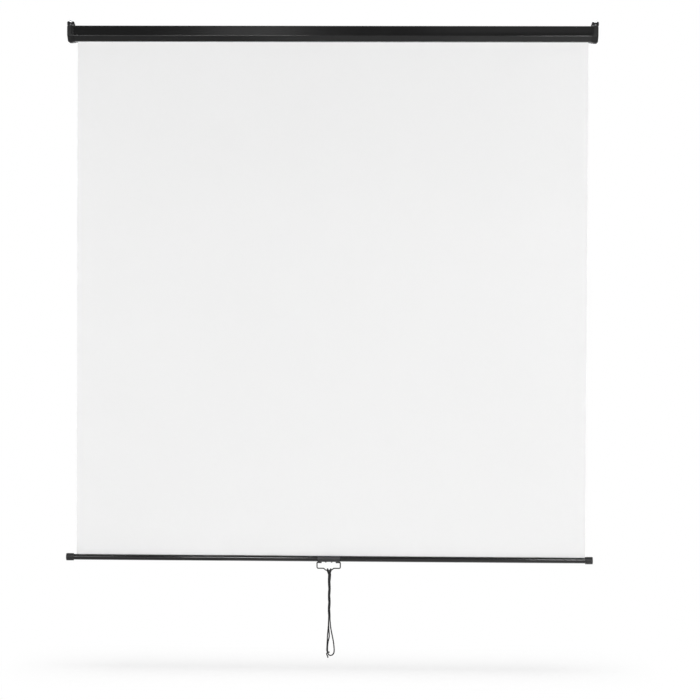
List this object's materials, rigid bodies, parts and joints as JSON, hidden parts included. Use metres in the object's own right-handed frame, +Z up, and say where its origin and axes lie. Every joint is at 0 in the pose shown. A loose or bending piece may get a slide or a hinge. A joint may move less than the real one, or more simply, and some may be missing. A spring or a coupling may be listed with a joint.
{
  "type": "roll-up projection screen",
  "caption": "Wall-hung projection screen: a spring roller in a slim steel case lets down a white sheet on a round bar with a wire pull handle and cord.",
  "frame": {"origin": "middle of the case's flat back face", "axes": "+X along the case, to the right seen from the front; +Y out of the back, towards the wall; +Z up, opposite to the way the sheet is drawn out"},
  "size_m": [1.6116, 0.0522, 1.94],
  "materials": {
    "black_steel": "satin black powder coat",
    "black_plastic": "moulded, satin",
    "grey_plastic": "moulded",
    "zinc": "zinc plated",
    "spring_steel": "drawn wire",
    "white_sheet": "matte white coated cloth",
    "black_cord": "braided cord"
  },
  "bodies": {
    "case": {"case_profile": "black_steel", "left_end_cap": "black_plastic", "right_end_cap": "black_plastic", "left_hanger_ring": "zinc", "right_hanger_ring": "zinc", "left_hanger_screw": "zinc", "right_hanger_screw": "zinc", "left_front_cap_screw": "zinc", "right_front_cap_screw": "zinc", "left_back_cap_screw": "zinc", "right_back_cap_screw": "zinc", "spring_shaft": "zinc", "spring_collar": "zinc", "ratchet_wheel": "zinc", "idler_pin": "zinc", "screen_fabric": "white_sheet"},
    "roller": {"roller_tube": "zinc", "left_roller_plug": "grey_plastic", "right_roller_plug": "grey_plastic", "shaft_bush": "grey_plastic", "torsion_spring": "spring_steel", "fabric_wrap": "white_sheet", "pawl_pin": "zinc"},
    "lock_pawl": {"lock_pawl": "zinc"},
    "bottom_bar": {"bar_tube": "black_steel", "left_bar_cap": "black_plastic", "right_bar_cap": "black_plastic", "hem_rod": "grey_plastic", "fabric_hem": "white_sheet", "handle_saddle": "black_plastic", "left_saddle_screw": "black_steel", "right_saddle_screw": "black_steel"},
    "pull_bail": {"pull_bail": "black_steel"},
    "pull_cord": {"cord_hitch": "black_cord", "pull_cord": "black_cord", "pull_cord_end": "black_cord", "cord_knot": "black_cord"}
  },
  "joints": [
    {"name": "screen_slide", "type": "slide", "parent": "case", "child": "bottom_bar", "axis": [0, 0, 1], "range_m": [0, 1.555], "deforming": ["screen_fabric"]},
    {"name": "roller_turn", "type": "hinge", "parent": "case", "child": "roller", "pos_m": [0, -0.0265, 0], "axis": [1, 0, 0], "range_deg": [0, 5581]},
    {"name": "pawl_swing", "type": "hinge", "parent": "roller", "child": "lock_pawl", "pos_m": [-0.7812, -0.0337, -0.0082], "axis": [1, 0, 0], "range_deg": [0, 14]},
    {"name": "bail_swing", "type": "hinge", "parent": "bottom_bar", "child": "pull_bail", "pos_m": [-0.0042, -0.01189, -1.6037], "axis": [1, 0, 0], "range_deg": [-85, 85]},
    {"name": "cord_swing", "type": "hinge", "parent": "pull_bail", "child": "pull_cord", "pos_m": [-0.0042, -0.01189, -1.6275], "axis": [1, 0, 0], "range_deg": [-60, 60]}
  ],
  "couplings": [
    {"joint": "roller_turn", "follows": "screen_slide", "rad_per_m": 62.63}
  ]
}
